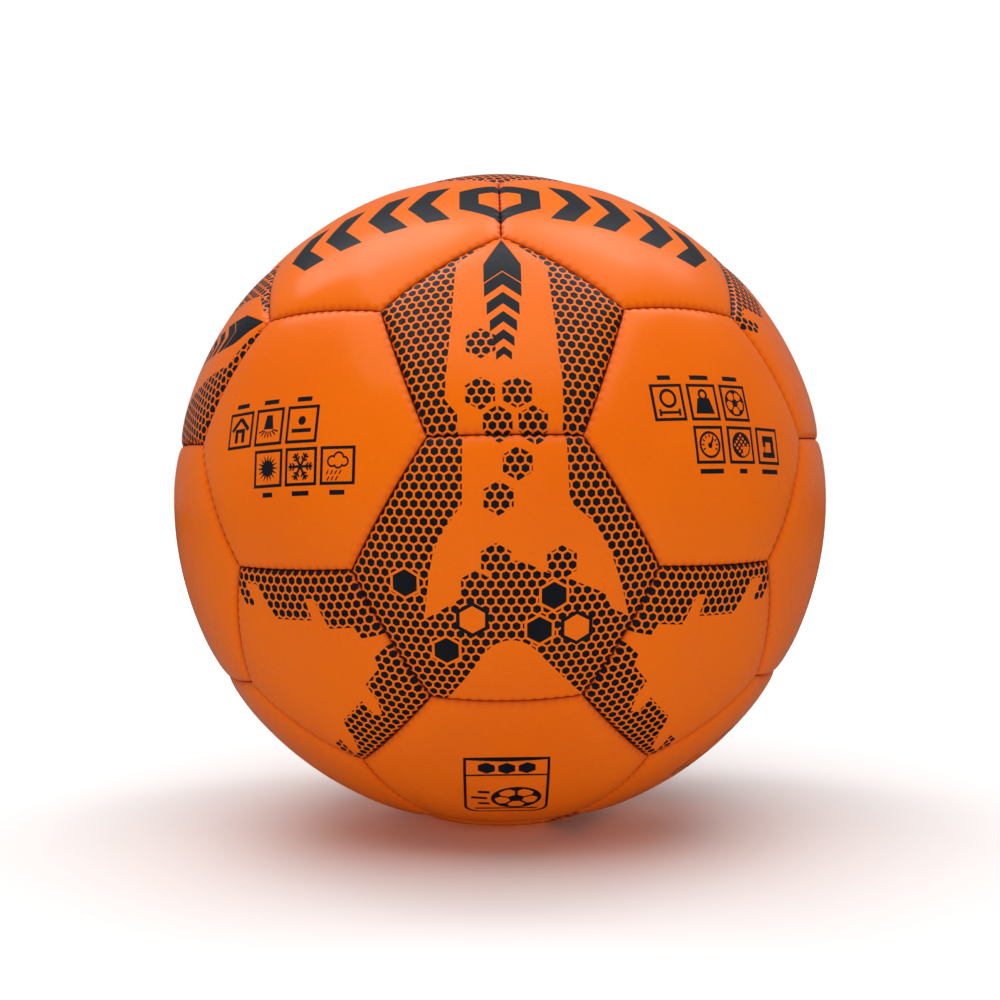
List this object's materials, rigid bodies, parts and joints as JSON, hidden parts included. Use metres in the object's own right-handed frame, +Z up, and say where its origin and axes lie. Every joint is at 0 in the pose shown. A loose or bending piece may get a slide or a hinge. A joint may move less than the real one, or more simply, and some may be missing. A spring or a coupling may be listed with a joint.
{
  "type": "soccer ball",
  "caption": "Small soccer ball: sewn pentagon and hexagon cover panels over an air bladder, with a rubber needle valve whose plug pulls out for renewal.",
  "frame": {"origin": "centre of the ball", "axes": "+Z up along the five-fold axis through the middles of the top and bottom pentagons, -Y towards the front pentagon and the front hexagon, +X to the viewer's right; the valve is in the hexagon at the back"},
  "size_m": [0.1866, 0.1876, 0.188],
  "materials": {
    "cover": "glossy orange PVC skin with fine grain, printed in near-black ink",
    "thread": "dark waxed polyester sewing thread, satin",
    "bladder": "thin moulded latex, satin",
    "backing_cloth": "plain woven cotton backing, matte",
    "valve_rubber": "moulded butyl rubber, matte",
    "core_rubber": "soft moulded rubber, satin"
  },
  "bodies": {
    "ball": {"panel_pentagon_01": "cover", "panel_pentagon_02": "cover", "panel_pentagon_03": "cover", "panel_pentagon_04": "cover", "panel_pentagon_05": "cover", "panel_pentagon_06": "cover", "panel_pentagon_07": "cover", "panel_pentagon_08": "cover", "panel_pentagon_09": "cover", "panel_pentagon_10": "cover", "panel_pentagon_11": "cover", "panel_pentagon_12": "cover", "panel_hexagon_01": "cover", "panel_hexagon_02": "cover", "panel_hexagon_03": "cover", "panel_hexagon_04": "cover", "panel_hexagon_05": "cover", "panel_hexagon_06": "cover", "panel_hexagon_07": "cover", "panel_hexagon_08": "cover", "panel_hexagon_09": "cover", "panel_hexagon_10": "cover", "panel_hexagon_11": "cover", "panel_hexagon_12": "cover", "panel_hexagon_13": "cover", "panel_hexagon_14": "cover", "panel_hexagon_15": "cover", "panel_hexagon_16": "cover", "panel_hexagon_17": "cover", "panel_hexagon_18": "cover", "panel_hexagon_19": "cover", "panel_hexagon_20": "cover", "seam_thread_first_half": "thread", "seam_thread_second_half": "thread", "seam_thread_closing": "thread", "bladder": "bladder", "valve_patch": "backing_cloth", "valve_body": "valve_rubber"},
    "valve_core": {"valve_core": "core_rubber"}
  },
  "joints": [
    {"name": "valve_core_slide", "type": "slide", "parent": "ball", "child": "valve_core", "axis": [0, 0.9822, 0.1876], "range_m": [0, 0.018]}
  ]
}
